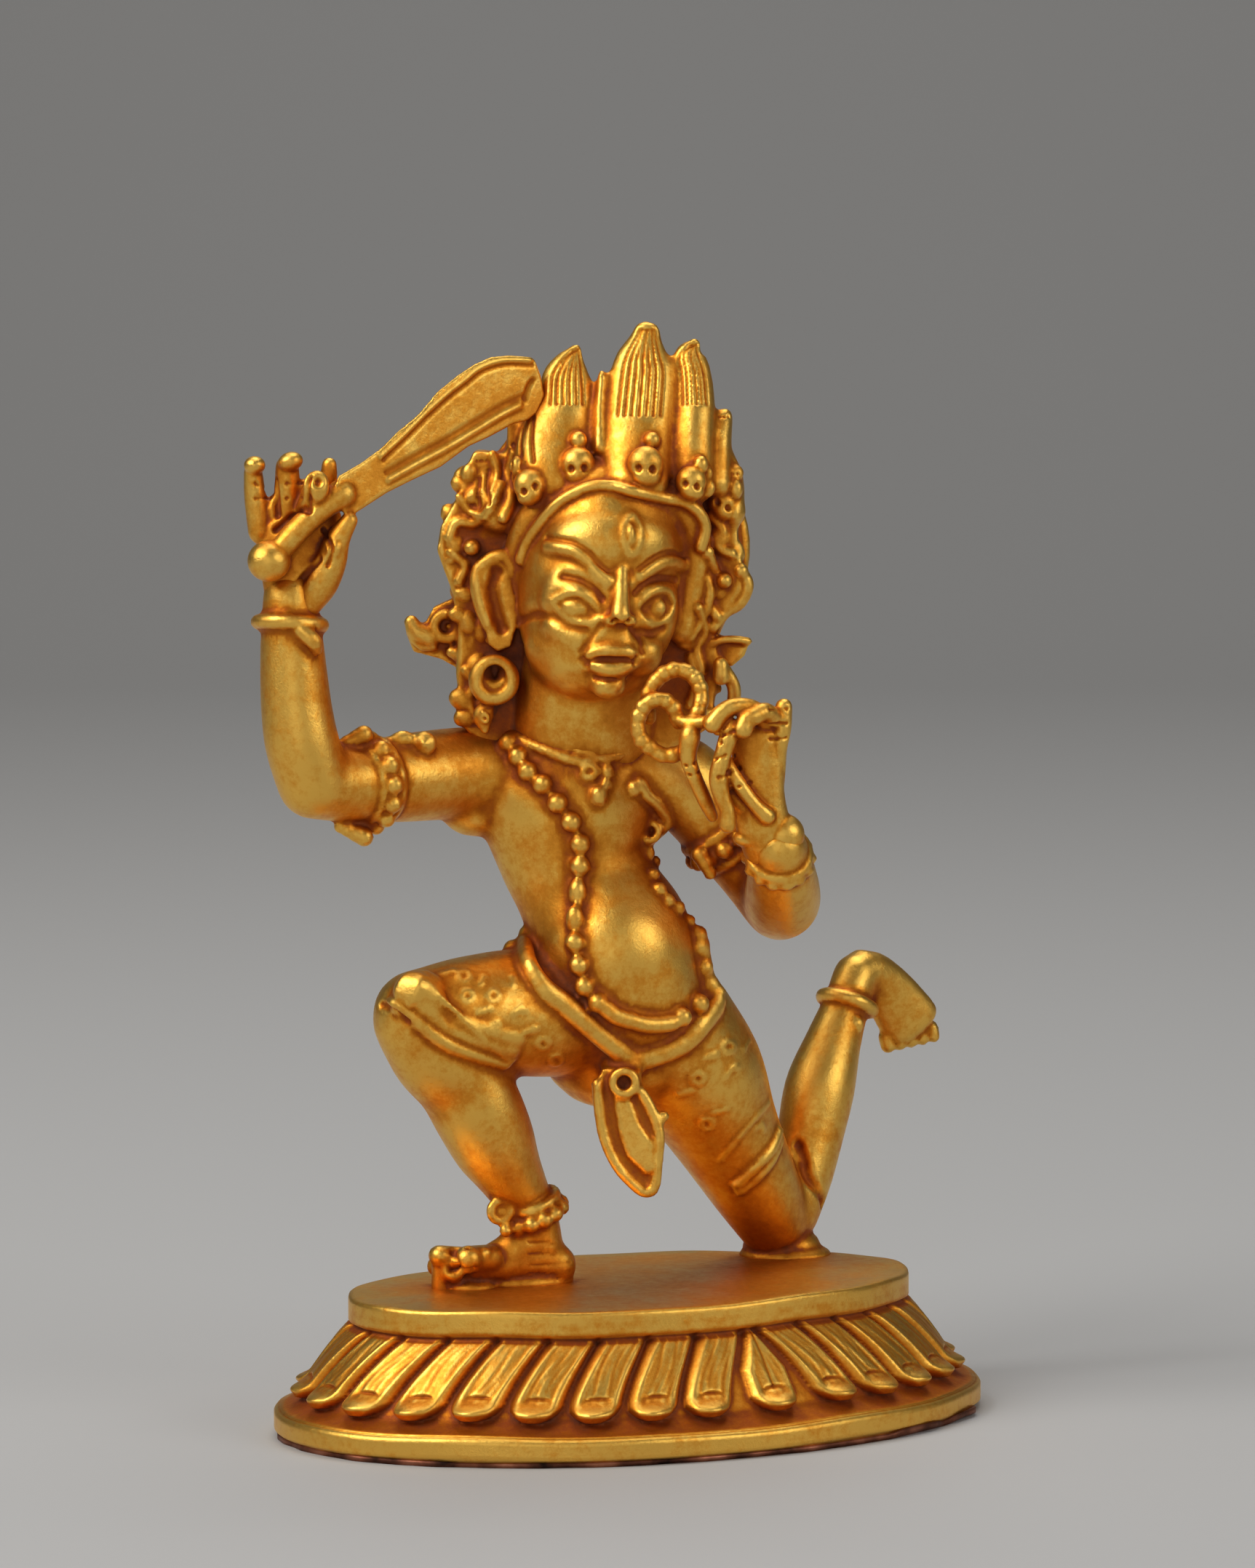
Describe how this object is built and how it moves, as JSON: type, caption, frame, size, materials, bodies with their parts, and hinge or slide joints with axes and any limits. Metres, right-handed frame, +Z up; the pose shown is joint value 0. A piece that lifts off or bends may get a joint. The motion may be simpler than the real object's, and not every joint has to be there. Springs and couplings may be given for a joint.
{
  "type": "deity statuette",
  "caption": "Small gilt copper figure of a kneeling guardian deity with a raised sword and a rope noose, on an oval lotus plinth closed by a copper sheet.",
  "frame": {"origin": "middle of the underside of the copper sheet that the statue stands on", "axes": "+Z up, +X along the plinth's long axis towards the raised foot, -Y the plinth's front"},
  "size_m": [0.0451, 0.0272, 0.0599],
  "materials": {
    "gilt_copper": "satin fire gilding, worn bright on the high parts, red-brown patina in the recesses",
    "bare_copper": "hammered bare copper sheet, darkened"
  },
  "bodies": {
    "root": {"figure": "gilt_copper", "lotus_base": "gilt_copper", "base_plate": "bare_copper"}
  },
  "joints": []
}
